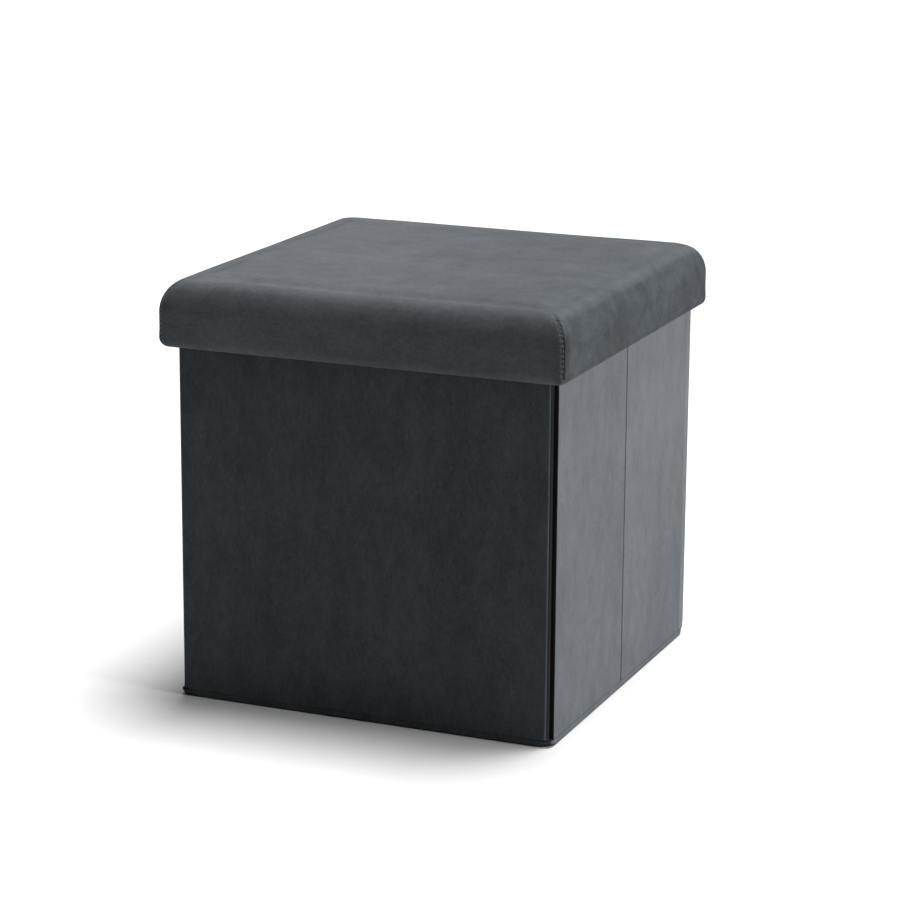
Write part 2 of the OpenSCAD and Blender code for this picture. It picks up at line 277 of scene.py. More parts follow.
DARK_TINT = (0.74, 0.88, 1.0, 1)
PALE_TINT = (0.87, 0.93, 1.0, 1)
PILE_BRIGHTNESS = 0.076
VELVET_LID = velvet("velvet_lid", (1, 1, 1.3))
VELVET_WALL = velvet("velvet_wall", (1.4, 1.4, 0.7))
LINING = nonwoven("lining", (0.040, 0.040, 0.043))
BOARD = fibreboard("fibreboard")
FOAM = foam_sheet("foam")
WIRE = wire("staple_wire")
THREAD = spun_thread("thread", (0.05, 0.055, 0.062))
LINING_THREAD = spun_thread("lining_thread", (0.05, 0.05, 0.052))

# ---------------------------------------------------------------- mesh building


def mesh_object(name, points, faces, material):
    mesh = bpy.data.meshes.new(name)
    mesh.from_pydata([tuple(map(float, p)) for p in points], [], faces)
    mesh.validate()
    mesh.shade_smooth()
    mesh.materials.append(material)
    piece = bpy.data.objects.new(name, mesh)
    bpy.context.collection.objects.link(piece)
    return piece


def lattice_faces(rows, columns, first=0, closed=False):
    """Faces between the points of a lattice; closed joins the last column to the first."""
    faces = []
    for r in range(rows - 1):
        for c in range(columns if closed else columns - 1):
            d = (c + 1) % columns
            a = first + r * columns
            faces.append((a + c, a + d, a + columns + d, a + columns + c))
    return faces


def strip(name, path, z_rows, material, thickness=CLOTH_T):
    """An upright strip of cloth: a path in plan, carried up through z_rows."""
    points = [(x, y, z) for z in z_rows for x, y in path]
    piece = mesh_object(name, points, lattice_faces(len(z_rows), len(path)), material)
    thicken(piece, thickness, 0)
    return piece


def thicken(piece, thickness, offset):
    cloth = piece.modifiers.new("cloth_thickness", "SOLIDIFY")
    cloth.thickness = thickness
    cloth.offset = offset
    cloth.use_even_offset = False


def store_nap_and_painted_light(piece, shade):
    """Stores the pile's lean at each point together with painted light and shade: shade(point, normal) is 1
    where it is neutral.
    """
    mesh = piece.data
    nap = mesh.attributes.new("nap", "FLOAT", "POINT")
    nap.data.foreach_set("value", [shade(v.co, v.normal) for v in mesh.vertices])


def turn_faces(piece, index, out):
    """Flips the piece's faces if the one with this index looks inwards."""
    if piece.data.polygons[index].normal.dot(out) < 0:
        piece.data.flip_normals()


def clamp(value):
    return min(max(value, 0), 1)


def bell(value, middle, width):
    return math.exp(-(((value - middle) / width) ** 2))


def wander(point, size, seed=0.0):
    """Smooth noise from -1 to 1 whose features are about size across."""
    return noise.noise(Vector(point) / size + Vector((seed, seed * 1.7, seed * 0.3)))


def smooth_path(corners, steps=4):
    """A path through the middles of its segments, rounded at each corner."""
    path = [np.array(corners[0], float)]
    for before, corner, after in zip(corners, corners[1:], corners[2:]):
        before, corner, after = (np.array(p, float) for p in (before, corner, after))
        a, b = (before + corner) / 2, (corner + after) / 2
        for k in range(steps + 1):
            t = k / steps
            path.append((1 - t) ** 2 * a + 2 * t * (1 - t) * corner + t * t * b)
    path.append(np.array(corners[-1], float))
    return path


def segment_lengths(path):
    return np.linalg.norm(np.diff(path, axis=0), axis=1)


def path_length(path):
    return float(segment_lengths(path).sum())


def distances(path):
    """How far along a path each of its points lies."""
    return np.concatenate([[0], np.cumsum(segment_lengths(path))])


def even(path, spacing):
    """The same path with its points evenly spaced."""
    path = np.array(path, float)
    along = distances(path)
    count = max(2, round(along[-1] / spacing) + 1)
    at = np.linspace(0, along[-1], count)
    return np.stack([np.interp(at, along, path[:, k]) for k in range(path.shape[1])], axis=1)


def steps_between(low, high, spacing):
    return np.linspace(low, high, max(2, round((high - low) / spacing) + 1))


# A flat outline is four sides in order; each side is a function of (t, inset) that gives a
# point in the plane, and t runs from 0 to 1.


def coons(sides, us, vs, insets):
    """Points that fill an outline, row by row from its first side to its third.
    insets gives, for each side, how far in from the outline each of its points lies."""
    first = np.array([sides[0](u, d) for u, d in zip(us, insets[0])])
    right = np.array([sides[1](v, d) for v, d in zip(vs, insets[1])])
    last = np.array([sides[2](1 - u, d) for u, d in zip(us, insets[2])])
    left = np.array([sides[3](1 - v, d) for v, d in zip(vs, insets[3])])
    rows = []
    for v, start, end in zip(vs, left, right):
        k = us[:, None]
        across = (1 - k) * start + k * end
        along = (1 - v) * first + v * last
        corners = (1 - v) * ((1 - k) * first[0] + k * first[-1]) + v * ((1 - k) * last[0] + k * last[-1])
        rows.append(across + along - corners)
    return np.array(rows)


def upholstered(sides, us, vs, roll, profile):
    """A cloth skin over a flat outline: a face filled with quads, then rings that roll over the
    edge. roll(k, t) is the edge radius at t of side k; profile(radius, k, t) gives the rings as
    (inset, depth) pairs. Returns the points as (a, b, depth), and the faces."""
    reach = [[roll(k, t) for t in (us if k % 2 == 0 else vs)] for k in range(4)]
    reach[2], reach[3] = reach[2][::-1], reach[3][::-1]
    face = coons(sides, us, vs, reach)
    rows, columns = face.shape[:2]
    points = [(a, b, 0.0) for row in face for a, b in row]
    faces = lattice_faces(rows, columns)
    rim = [(0, c) for c in range(columns - 1)] + [(r, columns - 1) for r in range(rows - 1)]
    rim += [(rows - 1, c) for c in range(columns - 1, 0, -1)] + [(r, 0) for r in range(rows - 1, 0, -1)]
    where = [(0, t) for t in us[:-1]] + [(1, t) for t in vs[:-1]]
    where += [(2, t) for t in (1 - us[::-1])[:-1]] + [(3, t) for t in (1 - vs[::-1])[:-1]]
    rings = [profile(roll(k, t), k, t) for k, t in where]
    around = len(rim)
    previous = [r * columns + c for r, c in rim]
    for m in range(len(rings[0])):
        start = len(points)
        for (k, t), ring in zip(where, rings):
            inset, depth = ring[m]
            a, b = sides[k](t, inset)
            points.append((a, b, depth))
        current = list(range(start, start + around))
        for q in range(around):
            n = (q + 1) % around
            faces.append((previous[q], current[q], current[n], previous[n]))
        previous = current
    return np.array(points), faces


def clustered(length, spacing, fine, growth=1.09):
    """Places from 0 to 1 along a side: fine spacing at each end, growing smoothly to spacing."""
    ends, step = [0.0], fine
    while step < spacing and ends[-1] + step < length / 3:
        ends.append(ends[-1] + step)
        step *= growth
    middle = steps_between(ends[-1], length - ends[-1], spacing)
    return np.concatenate([ends[:-1], middle, length - np.array(ends[-2::-1])]) / length


# ---------------------------------------------------------------- the lid

EDGE_R, EDGE_DROP = 20 * MM, 29 * MM
PLAN_R_LOW, PLAN_R_TOP = 11 * MM, 13 * MM
SKIRT_ROLL = 8 * MM
SEAT_DROP = 1.8 * MM
SKIRT_INSET = 0.4 * MM
SKIN_DETAIL, CLOTH_DETAIL = 1.2 * MM, 5 * MM
HELD_HEIGHT, HELD_FADE = 14 * MM, 22 * MM
BLOW_FRAMES = 20
PUFF_TOP, PUFF_SIDE = 2.4 * MM, 0.8 * MM
SEAM_TOP = SEAT_Z - 2.5 * MM
STITCH = 4.2 * MM


def round_square_side(k, half, radius):
    """One side of a square outline with rounded corners, from the middle of one corner's arc
    to the middle of the next."""

    def side(t, inset):
        h, r = half - abs(inset), max(radius(inset), 0.2 * MM)
        straight, arc = h - r, r * math.pi / 4
        along = (2 * t - 1) * (straight + arc)
        turn = max(abs(along) - straight, 0) / r
        a = math.copysign(min(abs(along), straight) + r * math.sin(turn), along)
        b = -(straight + r * math.cos(turn))
        for _ in range(k):
            a, b = -b, a
        return np.array((a, b))

    return side


def lid_plan_radius(inset):
    """Corner radius of the lid seen from above: tight on the skirt, wide where the seat begins.
    A negative inset is the hem's, whose corners tighten as it goes in."""
    if inset < 0:
        return max(PLAN_R_LOW + inset, 2 * MM)
    share = min(inset / EDGE_R, 1)
    return PLAN_R_LOW + (PLAN_R_TOP - PLAN_R_LOW) * share**0.8


def lid_profile(radius, detail):
    """Rings of the lid's skin, from the seat's edge over and down the skirt, under the rail and
    up inside it."""
    drop = SEAT_Z - SKIRT_Z
    rings = []
    arc = (EDGE_R + EDGE_DROP) * 0.8  # about a quarter of the ellipse's outline
    over = round(arc / (1.2 * detail))
    for k in range(1, over + 1):
        turn = math.pi / 2 * k / over
        rings.append((radius * (1 - math.sin(turn)), EDGE_DROP * (1 - math.cos(turn))))
    for depth in steps_between(EDGE_DROP, drop - SKIRT_ROLL, detail)[1:]:
        rings.append((0, depth))
    for k in range(1, 8):
        turn = math.pi / 2 * k / 7
        rings.append((-SKIRT_ROLL * (1 - math.cos(turn)), drop - SKIRT_ROLL * (1 - math.sin(turn))))
    inner = LID_HALF - HEM_HALF + 0.6 * MM
    rings.append((0.9 * MM - inner, drop))
    rings.append((0.2 * MM - inner, drop - 0.3 * MM))
    for rise in (1, 3, 7, 11, 14):
        rings.append((-inner, drop - rise * MM))
    return rings


def lid_skin(spacing, fine=None):
    """The velvet's outer surface before it is puffed up: points and faces."""
    side = 2 * (LID_HALF - EDGE_R)
    places = clustered(side, spacing, fine) if fine else steps_between(0, 1, spacing / side)
    sides = [round_square_side(k, LID_HALF, lid_plan_radius) for k in range(4)]
    detail = fine or spacing
    points, faces = upholstered(
        sides, places, places, lambda k, t: EDGE_R, lambda radius, k, t: lid_profile(radius, detail)
    )
    points[:, 2] = SEAT_Z - points[:, 2]
    return points, faces


def puffed(points, faces):
    """How far each point moves outwards when the cloth is blown up by the foam under it, held at
    its hem; and the way out at each point."""
    piece = mesh_object("lid_blown", points, faces, VELVET_LID)
    held = piece.vertex_groups.new(name="held")
    for index, p in enumerate(points):
        share = 1 - clamp((p[2] - SKIRT_Z - HELD_HEIGHT) / HELD_FADE)
        if share > 0:
            held.add([index], share, "REPLACE")
    cloth = piece.modifiers.new("blown", "CLOTH")
    settings = cloth.settings
    settings.quality = 6
    settings.mass = 0.25
    settings.tension_stiffness = settings.compression_stiffness = 25
    settings.shear_stiffness = 12
    settings.bending_stiffness = 1.5
    settings.vertex_group_mass = "held"
    settings.use_pressure = True
    settings.uniform_pressure_force = 4
    settings.effector_weights.gravity = 0
    cloth.collision_settings.use_collision = False
    scene = bpy.context.scene
    for number in range(1, BLOW_FRAMES + 1):
        scene.frame_set(number)
    normals = np.array([v.normal for v in piece.data.vertices])
    blown = piece.evaluated_get(bpy.context.evaluated_depsgraph_get())
    moved = np.array([v.co for v in blown.to_mesh().vertices]) - points
    blown.to_mesh_clear()
    scene.frame_set(1)
    bpy.data.objects.remove(piece)
    return (moved * normals).sum(axis=1), normals


def carried(source, moves, targets):
    """The moves of the source points, spread smoothly onto the target points."""
    tree = kdtree.KDTree(len(source))
    for index, p in enumerate(source):
        tree.insert(p, index)
    tree.balance()
    result = np.zeros_like(targets)
    for index, p in enumerate(targets):
        near = tree.find_n(p, 6)
        weights = np.array([1 / (d + 1.5 * MM) ** 2 for _, _, d in near])
        result[index] = (weights[:, None] * moves[[i for _, i, _ in near]]).sum(0) / weights.sum()
    return result


def seam_frame(p):
    """For a point on the lid: how far it is from the nearest corner's seam line, the same
    distance with the sign of its side, and the way out from the lid's middle at that corner."""
    x, y = abs(p[0]), abs(p[1])
    out = np.array((math.copysign(1, p[0]), math.copysign(1, p[1]), 0.0)) / math.sqrt(2)
    return abs(x - y) / math.sqrt(2), (x - y) / math.sqrt(2), out


def seam_share(p):
    """1 where a corner seam runs at this height, fading out on the seat and above the hem."""
    if min(abs(p[0]), abs(p[1])) < LID_HALF - 30 * MM:
        return 0
    above, below = (SEAM_TOP - p[2]) / (5 * MM), (p[2] - SKIRT_Z - 3 * MM) / (9 * MM)
    return clamp(min(above, below))


def sew_lid_corners(points):
    """Draws the cloth in along the four corner seams, with the small puckers that the stitches
    leave on either side."""
    sewn = points.copy()
    for index, p in enumerate(points):
        away, signed, out = seam_frame(p)
        fade = seam_share(p)
        if away > 9 * MM or fade == 0:
            continue
        tilt = clamp((SEAT_Z - p[2]) / EDGE_DROP)
        normal = out * math.sqrt(1 - (1 - tilt) ** 2) + np.array((0, 0, 1 - tilt))
        groove = -1.3 * MM * bell(away, 0, 0.9 * MM)
        ridge = 0.35 * MM * bell(away, 2.4 * MM, 1.4 * MM)
        pucker = math.sin(2 * math.pi * p[2] / STITCH + (1.3 if signed > 0 else 0))
        pucker *= 0.18 * MM * bell(away, 1.9 * MM, 1.2 * MM)
        sewn[index] = p + fade * (groove + ridge + pucker) * normal
    return sewn


def cap_moves(points, moves):
    """Limits how far the blown cloth may stand away from where it started."""
    high = np.clip((points[:, 2] - (SEAT_Z - EDGE_R)) / EDGE_R, 0, 1)
    limit = PUFF_SIDE + (PUFF_TOP - PUFF_SIDE) * high
    return limit * np.tanh(np.maximum(moves, 0) / (1.5 * limit))


def lid_nap_and_painted_light(p, normal):
    """Painted light and shade on the lid's velvet, with the pile's lean. The seat is pale; the skirt is
    painted darker, most so on its two sides, and on its right face and its front and back the painted shade
    is divided by lit, so that it cancels the side lamp on faces turned towards +X; the front and back grow
    a little paler towards the hem. Along the corner seams a painted shade darkens the parting, with a
    painted highlight beside each stitch."""
    up = clamp((normal.z - 0.55) / 0.40)
    up = up * up * (3 - 2 * up)
    low = 1 - clamp((p.z - SKIRT_Z) / (SEAT_Z - EDGE_DROP - SKIRT_Z))
    # lit is how much the side lamp brightens a face turned towards +X; dividing by it paints shade that
    # cancels that lamp.
    lit = 1 + 3 * max(normal.x, 0)
    if abs(normal.x) > abs(normal.y):
        side = 1.80 / lit if normal.x > 0 else 0.52
    else:
        side = (0.70 + 0.06 * low) / lit
    marks = 0.07 * wander(p, 0.09, 3.1) + 0.05 * wander(p, 0.035, 7.7)
    swept = 0.07 * bell(p.x, 0.11, 0.05) * bell(p.y, -0.03, 0.012) * up
    sides = (1 - up) * (0.10 * wander(p, 0.030, 5.1) + 0.14 * wander(p, 0.012, 9.4))
    sides *= abs(normal.x) > abs(normal.y)
    seam, signed, _ = seam_frame(p)
    fade = seam_share(p)
    # Painted shade along the seam's parting, and a painted highlight beside each stitch on one side.
    seam_painted_shade = 0.75 * bell(seam, 0, 1.2 * MM)
    stitch_painted_highlight = max(math.sin(2 * math.pi * p.z / STITCH), 0) * 0.45 * bell(seam, 2.0 * MM, 0.9 * MM)
    # Painted shade: the seat darkens towards +X.
    shade = side * (1 - up) + (0.96 - 0.6 * p.x) * up + marks * (0.5 + 0.5 * up) - swept + sides
    return shade * (1 - fade * seam_painted_shade) + fade * stitch_painted_highlight * (signed < 0)


def make_lid_cover():
    points, faces = lid_skin(4 * MM, SKIN_DETAIL)
    lower = np.clip((points[:, 2] - SKIRT_Z) / (SEAT_Z - SKIRT_Z), 0, 1)
    points[:, 2] -= SEAT_DROP * lower
    skirt = np.clip((points[:, 2] - SKIRT_Z - SKIRT_ROLL) / SKIRT_ROLL, 0, 1)
    points[:, :2] *= 1 - SKIRT_INSET / LID_HALF * skirt[:, None]
    coarse, coarse_faces = lid_skin(CLOTH_DETAIL)
    blown, normals = puffed(coarse, coarse_faces)
    moves = cap_moves(coarse, blown)[:, None] * normals
    points = points + carried(coarse, moves, points)
    points = sew_lid_corners(points)
    for p in points:
        if p[2] > SEAT_Z - 8 * MM:
            p[2] += 0.35 * MM * wander(p, 0.07, 1.0)
    cover = mesh_object("lid_velvet_cover", points, faces, VELVET_LID)
    store_nap_and_painted_light(cover, lid_nap_and_painted_light)
    thicken(cover, CLOTH_T, -1)
    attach(cover, "lid")
    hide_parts("lid_cover")


make_lid_cover()

# ---------------------------------------------------------------- walls


def arc_inset(radius, height):
    """How far an arc centred one radius above the floor has left its edge line at a height."""
    if height >= radius:
        return 0.0
    return radius - math.sqrt(max(radius * radius - (radius - height) ** 2, 0))


def rect_side(k, width, low, high):
    """One side of an upright rectangle: its foot, its far edge, its top or its near edge."""

    def side(t, inset):
        corners = [
            (inset, low + inset), (width - inset, low + inset),
            (width - inset, high - inset), (inset, high - inset),
        ]
        a, b = np.array(corners[k]), np.array(corners[(k + 1) % 4])
        return a + t * (b - a)

    return side


FACE_IN = 0.25 * MM
HEM_W = 14 * MM
ROLL_CORNER, ROLL_CREASE, ROLL_CHANNEL, ROLL_BUTT = 2.2 * MM, 1.0 * MM, 1.3 * MM, 0.5 * MM
ROLL_FOOT, ROLL_TOP = 0.3 * MM, 1.8 * MM
SKIN_T = 0.4 * MM
LIP_T = 0.9 * MM
LIP_W = BOX_HALF - WALL_T + FACE_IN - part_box("back_cover")[0].y
WALL_SPACING, EDGE_SPACING, SPACING_GROWTH = 6 * MM, 1.6 * MM, 1.2


def wall_profile(radius, lip):
    """Rings of a wall's velvet: over the edge, across it, and back as a hem on the inner face.
    A lip carries the velvet on past the inner face and folds it back."""
    depth = WALL_T - FACE_IN
    rings = []
    for k in range(1, 6):
        turn = math.pi / 2 * k / 5
        rings.append((radius * (1 - math.sin(turn)), radius * (1 - math.cos(turn))))
    small = 0.3 * MM
    for d in np.linspace(radius, depth + lip - small, 5)[1:]:
        rings.append((0, d))
    for k in range(1, 4):
        turn = math.pi / 2 * k / 3
        rings.append((small * (1 - math.cos(turn)), depth + lip - small * (1 - math.sin(turn))))
    rings.append((LIP_T - 0.05 * MM, depth + lip))
    rings.append((LIP_T + 0.1 * MM, depth + lip * 0.5))
    rings.append((LIP_T + 0.3 * MM, depth))
    for inset in (4 * MM, 9 * MM, HEM_W):
        rings.append((inset, depth))
    return rings


class Wall:
    """Where a wall panel stands: its body, the corner it starts from, the ways along and out,
    the radius of its bottom corners and of its rolled edges, and whether it has lips."""

    def __init__(self, name, body, start, along, out, width, radius, rolls, lips=False):
        self.name, self.body, self.width, self.radius = name, body, width, radius
        self.start, self.along, self.out = (np.array((*v, 0.0)) for v in (start, along, out))
        self.rolls = (ROLL_FOOT, rolls[1], ROLL_TOP, rolls[0])
        self.lips = lips

    def place(self, s, depth_out, z):
        """Point s along the wall, depth_out from its inner face, z up."""
        return self.start + s * self.along + depth_out * self.out + np.array((0, 0, z))

    def lip(self, k):
        """How wide the lip is that side k carries."""
        return LIP_W if self.lips and k in (1, 3) else 0.0


def all_walls():
    ends = (ROLL_CORNER, ROLL_CORNER)
    rear, front = (-BOX_HALF, INNER_HALF), (FRONT_HALF, -INNER_HALF)
    walls = [
        Wall("back", "back_panel", rear, (1, 0), (0, 1), 2 * BOX_HALF, CORNER_R, ends, True),
        Wall("front", "front_panel", front, (-1, 0), (0, -1), 2 * FRONT_HALF, CORNER_R, ends),
    ]
    for side, sx in (("right", 1), ("left", -1)):
        for end, sy, roll in (("rear", 1, ROLL_BUTT), ("front", -1, ROLL_CHANNEL)):
            name = f"{side}_{end}"
            start = (sx * INNER_HALF, sy * SIDE_START)
            part = (REAR_SIDE_END if end == "rear" else FRONT_SIDE_END) - SIDE_START
            rolls = (ROLL_CREASE, roll)
            walls.append(Wall(name, f"{name}_panel", start, (0, sy), (sx, 0), part, 0, rolls))
    return walls


WALLS = {wall.name: wall for wall in all_walls()}
# Painted light and shade by wall, with the pile's lean: the right walls, which face the side lamp, are
# painted pale, the front, which faces away from it, is painted dark, and the left and back walls lie
# between.
NAP_AND_PAINTED_LIGHT = {
    "back": 0.75, "front": 0.43,
    "right_rear": 1.36, "right_front": 1.22, "left_rear": 0.9, "left_front": 0.9,
}
# Painted shade: velvet turned into a corner channel is painted near black.
CHANNEL_PAINTED_SHADE = -0.10
# Painted light and shade towards the foot: the front is painted paler towards the bottom, the right walls
# darker.
FOOT_PAINTED_LIGHT_AND_SHADE = {"front": 0.28, "right_front": -0.22, "right_rear": -0.28}


def edge_nap_and_painted_light(wall, facing, sideways):
    """Painted light and shade on a wall where its skin faces out (facing 1), turns over its edge (facing 0)
    or is a hem behind (facing -1): the wall's own painted light, a painted highlight along the ridge of its
    roll, strongest on the front wall, and painted shade where the skin turns in over the edge. The back
    wall's lips take the painted light of the side walls."""
    if wall.name == "back" and facing < 0.6:
        return NAP_AND_PAINTED_LIGHT["right_rear" if sideways > 0 else "left_rear"]
    if facing > 0.985 or facing < -0.9:
        return NAP_AND_PAINTED_LIGHT[wall.name]
    # Painted highlight along the ridge of the roll.
    if facing > 0.75:
        return NAP_AND_PAINTED_LIGHT[wall.name] * (1.4 if wall.name == "front" else 1.08)
    # Painted shade where the skin turns in over the edge.
    return CHANNEL_PAINTED_SHADE


def roll_at(wall, k, t):
    """Edge radius at t of side k: on a wall with round bottom corners it grows towards the foot."""
    roll = wall.rolls[k]
    if wall.radius and k in (1, 3):
        share = t if k == 1 else 1 - t
        roll += arc_inset(wall.radius, WALL_FOOT + share * (WALL_TOP - WALL_FOOT))
    return roll


def blend_rolls(wall, k, t):
    """The same radius, easing into the neighbouring side's at each corner."""
    here = roll_at(wall, k, t)
    ease = 0.01 if k in (1, 3) else 0.03
    if t < ease:
        corner = (roll_at(wall, k, 0) + roll_at(wall, (k - 1) % 4, 1)) / 2
        return corner + (here - corner) * t / ease
    if t > 1 - ease:
        corner = (roll_at(wall, k, 1) + roll_at(wall, (k + 1) % 4, 0)) / 2
        return corner + (here - corner) * (1 - t) / ease
    return here


def make_wall_cover(wall):
    sides = [rect_side(k, wall.width, WALL_FOOT, WALL_TOP) for k in range(4)]
    us, vs = (
        clustered(length, WALL_SPACING, EDGE_SPACING, SPACING_GROWTH)
        for length in (wall.width, WALL_TOP - WALL_FOOT)
    )
    skin, faces = upholstered(
        sides, us, vs, lambda k, t: blend_rolls(wall, k, t),
        lambda radius, k, t: wall_profile(radius, wall.lip(k)),
    )
    seed = sum(map(ord, wall.name)) * 0.37
    points = []
    for s, z, depth in skin:
        p = wall.place(s, WALL_T - depth, z)
        edge = min(s, wall.width - s, z - WALL_FOOT, WALL_TOP - z)
        ease = clamp(edge / (25 * MM))
        if depth < 0.5 * MM:
            swell = 0.30 * MM * wander(p, 0.11, seed) + 0.12 * MM * wander(p, 0.035, seed)
            p = p + wall.out * ease * (swell - 0.25 * MM)
        points.append(p)
    cover = mesh_object(f"{wall.name}_velvet", points, faces, VELVET_WALL)
    out, along = Vector(wall.out), Vector(wall.along)
    turn_faces(cover, len(cover.data.polygons) // 4, out)

    # Painted light and shade for this wall, from its side, its edges and its height, times the pile's
    # uneven marks.
    def nap(p, normal):
        side_on = abs(normal.dot(along)) > abs(normal.z)
        facing = normal.dot(out) if side_on else 1.0
        height = (p.z - WALL_FOOT) / (WALL_TOP - WALL_FOOT)
        shade = edge_nap_and_painted_light(wall, facing, p.x)
        marks = 0.05 * wander(p, 0.12, seed) + 0.03 * wander(p, 0.04, seed + 2)
        return shade * (1 + marks + FOOT_PAINTED_LIGHT_AND_SHADE.get(wall.name, 0) * (1 - height))

    store_nap_and_painted_light(cover, nap)
    thicken(cover, SKIN_T, -1)
    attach(cover, wall.body)
    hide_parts(f"{wall.name}_cover")


for wall in WALLS.values():
    make_wall_cover(wall)

# ---------------------------------------------------------------- linings

LINING_GAP = 4 * MM
LINING_OUT = 0.3 * MM


def slab(sides, us, vs, thickness, edge):
    """A thin cloth slab over a flat outline, with a soft edge all round."""
    rings = [(edge, 0.0), (edge * 0.3, thickness * 0.25), (0.0, thickness * 0.7), (0.0, thickness)]
    return upholstered(sides, us, vs, lambda k, t: edge * 1.6, lambda radius, k, t: rings)


def make_wall_lining(wall):
    near = LINING_GAP if wall.radius else 1.5 * MM
    low, high = WALL_FOOT + 1 * MM, WALL_TOP - 9 * MM
    width = wall.width - LINING_GAP - near
    sides = [rect_side(k, width, low, high) for k in range(4)]
    us = steps_between(0, 1, 7 * MM / width)
    vs = steps_between(0, 1, 7 * MM / (high - low))
    skin, faces = slab(sides, us, vs, LINING_OUT + FACE_IN, 1.2 * MM)
    seed = sum(map(ord, wall.name)) * 0.53
    points = []
    for s, z, depth in skin:
        p = wall.place(s + near, depth - LINING_OUT, z)
        inside = min(s, width - s, z - low, high - z)
        if inside > 6 * MM:
            p = p + wall.out * (0.15 * MM * wander(p, 0.05, seed) + 0.1 * MM)
        points.append(p)
    lining = mesh_object(f"{wall.name}_inner_lining", points, faces, LINING)
    turn_faces(lining, 0, -Vector(wall.out))
    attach(lining, wall.body)
    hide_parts(f"{wall.name}_lining")


for wall in WALLS.values():
    make_wall_lining(wall)

# ---------------------------------------------------------------- stitches


def tube_run(points, radius, sides=6):
    """Points and faces of a closed tube along a short path, tapered at its ends."""
    points = np.array(points, float)
    rings = []
    for i, p in enumerate(points):
        ahead = points[min(i + 1, len(points) - 1)] - points[max(i - 1, 0)]
        ahead /= np.linalg.norm(ahead)
        side = np.cross(ahead, (0.3, 0.5, 0.81))
        side /= np.linalg.norm(side)
        other = np.cross(ahead, side)
        r = radius * (0.45 if i in (0, len(points) - 1) else 1)
        for k in range(sides):
            turn = 2 * math.pi * k / sides
            rings.append(p + r * (math.cos(turn) * side + math.sin(turn) * other))
    faces = lattice_faces(len(points), sides, closed=True)
    faces.append(tuple(range(sides))[::-1])
    last = (len(points) - 1) * sides
    faces.append(tuple(range(last, last + sides)))
    return rings, faces


def stitches(name, line, normals, pitch, length, radius, material):
    """A row of stitches along a line: each dips into the cloth at both its ends."""
    line, normals = np.array(line, float), np.array(normals, float)
    along = distances(line)

    def at(s, values):
        return np.array([np.interp(s, along, values[:, k]) for k in range(3)])

    points, faces = [], []
    for start in np.arange(pitch / 2, along[-1] - length, pitch):
        path = []
        for share, lift in ((0, -1.2), (0.18, 0.1), (0.5, 0.5), (0.82, 0.1), (1, -1.2)):
            s = start + share * length
            path.append(at(s, line) + at(s, normals) * lift * radius)
        ring, ring_faces = tube_run(path, radius)
        faces += [tuple(len(points) + i for i in f) for f in ring_faces]
        points += ring
    return mesh_object(name, points, faces, material)


def make_lid_seam_stitches():
    """Stitches down each corner of the lid, lying in the seam's groove."""
    for sx, sy in ((1, -1), (-1, -1), (-1, 1), (1, 1)):
        line, normals = [], []
        out = np.array((sx, sy, 0)) / math.sqrt(2)
        for k in range(31):
            share = k / 30
            rim = LID_HALF - 0.6 * MM
            if share < 0.45:
                turn = math.radians(25 + 65 * share / 0.45)
                inset = EDGE_R * (1 - math.sin(turn))
                z = SEAT_Z - SEAT_DROP - EDGE_DROP * (1 - math.cos(turn))
                normal = out * math.sin(turn) + np.array((0, 0, math.cos(turn)))
            else:
                inset = 0
                z = SEAT_Z - EDGE_DROP - (share - 0.45) / 0.55 * (SEAT_Z - EDGE_DROP - SKIRT_Z - 8 * MM)
                normal = out
            r = lid_plan_radius(inset)
            corner = rim - inset - r + r / math.sqrt(2)
            line.append((sx * corner, sy * corner, z))
            normals.append(normal)
        name = f"lid_seam_stitches_{'right' if sx > 0 else 'left'}_{'rear' if sy > 0 else 'front'}"
        row = stitches(name, line, normals, STITCH, 2.9 * MM, 0.32 * MM, THREAD)
        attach(row, "lid")


make_lid_seam_stitches()

# ---------------------------------------------------------------- corner channels and creases

Z_ROWS = steps_between(WALL_FOOT + 0.2 * MM, WALL_TOP - 0.4 * MM, 5 * MM)


def plan_path(corners, sx, sy):
    path = even(smooth_path(corners), 0.9 * MM)
    return [(sx * x, sy * y) for x, y in path]


